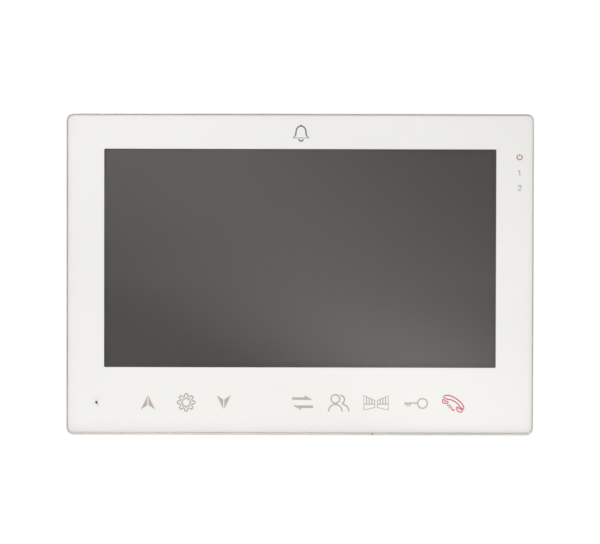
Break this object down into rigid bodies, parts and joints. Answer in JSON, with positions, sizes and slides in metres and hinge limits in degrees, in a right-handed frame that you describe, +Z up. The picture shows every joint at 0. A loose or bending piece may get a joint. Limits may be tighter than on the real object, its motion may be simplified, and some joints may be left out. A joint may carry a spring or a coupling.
{
  "type": "video intercom monitor",
  "caption": "Wall-hung video door intercom monitor: glass-fronted white casing with a wide display, a row of touch keys, indicator lamps and a rear steel hanging plate.",
  "frame": {"origin": "on the wall, at the centre of the wall plate's back face, behind the centre of the casing's outline", "axes": "+X to the user's right, +Z up, +Y into the wall; the glass front faces -Y"},
  "size_m": [0.1836, 0.022, 0.1264],
  "materials": {
    "clear_panel": "clear, polished, chamfered edge",
    "white_print": "white ink film seen through the glass",
    "satin_trim": "satin metallic paint, warm grey",
    "white_casing": "moulded, fine texture",
    "zinc_plated_steel": "bright zinc plate",
    "lcd_surface": "dark anti-glare polariser",
    "black_plastic": "moulded",
    "black_rubber": "soft foam or rubber",
    "light_guide": "white reflector and light guide",
    "circuit_board": "green solder mask",
    "white_board": "white solder mask",
    "chip_package": "moulded epoxy",
    "nylon_connector": "natural nylon",
    "flex_cable": "amber polyimide film",
    "red_led": "clear resin over a red lamp",
    "white_led": "clear resin over a white lamp",
    "cable_sheath": "soft vinyl",
    "aluminium_can": "drawn can"
  },
  "bodies": {
    "wall_plate": {"wall_plate": "zinc_plated_steel"},
    "power_switch": {"power_switch_slider": "black_plastic"},
    "reset_button": {"reset_plunger": "white_board"},
    "card": {"memory_card": "black_plastic"},
    "monitor": {"front_glass": "clear_panel", "printed_mask": "white_print", "trim_frame": "satin_trim", "front_housing": "white_casing", "rear_housing": "white_casing", "display_gasket": "black_rubber", "lcd_bezel": "zinc_plated_steel", "lcd_cell": "lcd_surface", "lcd_backlight": "light_guide", "lcd_driver_strip": "circuit_board", "lcd_bracket_left": "zinc_plated_steel", "lcd_bracket_right": "zinc_plated_steel", "lcd_flex_cable": "flex_cable", "touch_key_board": "white_board", "touch_controller": "chip_package", "touch_key_cable": "flex_cable", "indicator_board": "white_board", "indicator_light_baffle": "black_plastic", "power_led": "red_led", "door_1_led": "white_led", "door_2_led": "white_led", "microphone_boot": "black_rubber", "microphone_capsule": "zinc_plated_steel", "microphone_cable": "cable_sheath", "speaker_gasket": "black_rubber", "speaker_basket": "zinc_plated_steel", "speaker_cone": "black_plastic", "speaker_magnet": "zinc_plated_steel", "speaker_cable": "cable_sheath", "main_board": "circuit_board", "processor": "chip_package", "video_decoder": "chip_package", "audio_amplifier": "chip_package", "line_relay_1": "nylon_connector", "line_relay_2": "nylon_connector", "power_inductor": "chip_package", "electrolytic_capacitor_1": "aluminium_can", "electrolytic_capacitor_2": "aluminium_can", "coin_cell_holder": "black_plastic", "coin_cell": "zinc_plated_steel", "memory_card_socket": "zinc_plated_steel", "power_connector": "nylon_connector", "door_1_connector": "nylon_connector", "door_2_connector": "nylon_connector", "link_connector": "nylon_connector", "power_switch_body": "black_plastic", "reset_switch_body": "black_plastic", "housing_screw_1": "zinc_plated_steel", "board_screw_1": "zinc_plated_steel", "housing_screw_2": "zinc_plated_steel", "board_screw_2": "zinc_plated_steel", "housing_screw_3": "zinc_plated_steel", "board_screw_3": "zinc_plated_steel", "housing_screw_4": "zinc_plated_steel", "board_screw_4": "zinc_plated_steel"}
  },
  "joints": [
    {"name": "hang_on_plate", "type": "slide", "parent": "wall_plate", "child": "monitor", "axis": [0, 0, 1], "range_m": [0, 0.006]},
    {"name": "power_switch_slide", "type": "slide", "parent": "monitor", "child": "power_switch", "axis": [1, 0, 0], "range_m": [0, 0.0025]},
    {"name": "reset_press", "type": "slide", "parent": "monitor", "child": "reset_button", "axis": [0, 0, 1], "range_m": [0, 0.0004], "stiffness_N_per_m": 400},
    {"name": "memory_card_slide", "type": "slide", "parent": "monitor", "child": "card", "axis": [1, 0, 0], "range_m": [0, 0.012]}
  ]
}
